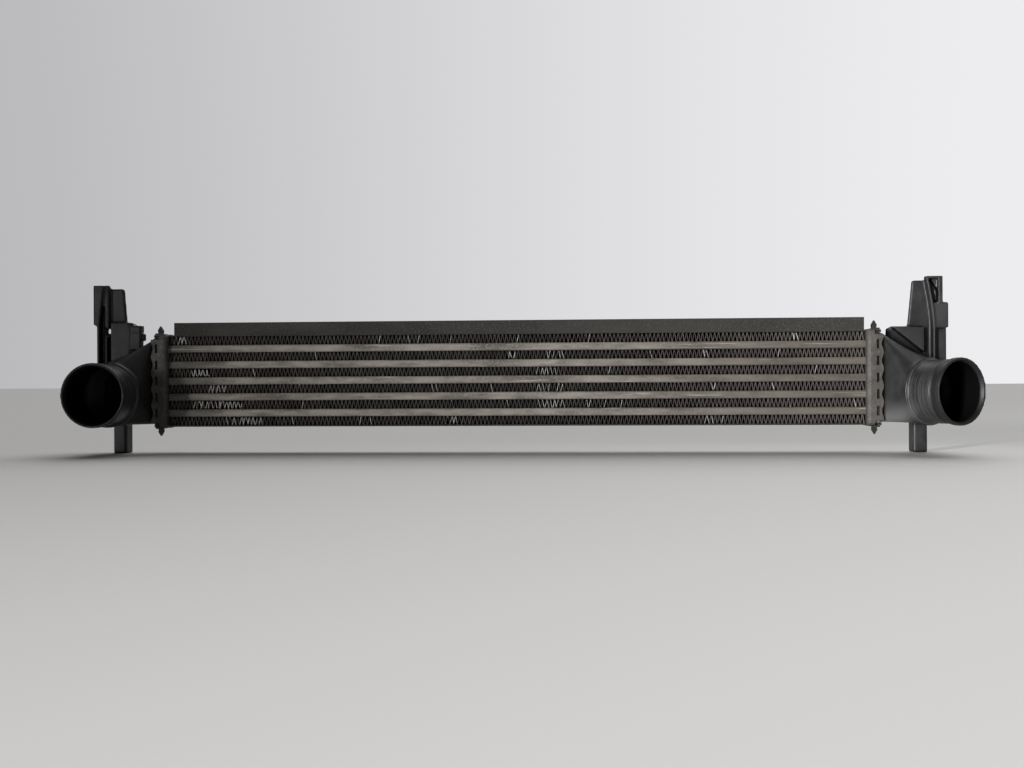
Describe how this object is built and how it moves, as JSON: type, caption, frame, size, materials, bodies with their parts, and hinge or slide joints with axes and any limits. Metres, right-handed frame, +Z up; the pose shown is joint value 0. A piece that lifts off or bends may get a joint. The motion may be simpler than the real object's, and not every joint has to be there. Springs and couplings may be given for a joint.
{
  "type": "intercooler",
  "caption": "Low, wide charge-air intercooler: flat tubes and folded fins between crimped headers, plastic end tanks with hose spigots, locating pegs and tall brackets.",
  "frame": {"origin": "centre of the left locating peg's foot face", "axes": "+X along the core towards the right tank, +Y towards the back (the spigots point to -Y), +Z up"},
  "size_m": [0.7785, 0.1063, 0.1532],
  "materials": {
    "tube_aluminium": "dull, speckled",
    "fin_aluminium": "dull, soiled",
    "plate_aluminium": "matt, soiled",
    "header_aluminium": "dull",
    "gasket_rubber": "matt",
    "tank_plastic": "black glass-filled plastic"
  },
  "bodies": {
    "root": {"tube_1": "tube_aluminium", "tube_2": "tube_aluminium", "tube_3": "tube_aluminium", "tube_4": "tube_aluminium", "tube_5": "tube_aluminium", "turbulator_1": "fin_aluminium", "turbulator_2": "fin_aluminium", "turbulator_3": "fin_aluminium", "turbulator_4": "fin_aluminium", "turbulator_5": "fin_aluminium", "fin_1": "fin_aluminium", "fin_2": "fin_aluminium", "fin_3": "fin_aluminium", "fin_4": "fin_aluminium", "fin_5": "fin_aluminium", "fin_6": "fin_aluminium", "top_side_plate": "plate_aluminium", "bottom_side_plate": "plate_aluminium", "left_header": "header_aluminium", "right_header": "header_aluminium", "left_gasket": "gasket_rubber", "right_gasket": "gasket_rubber", "left_tank": "tank_plastic", "right_tank": "tank_plastic"}
  },
  "joints": []
}
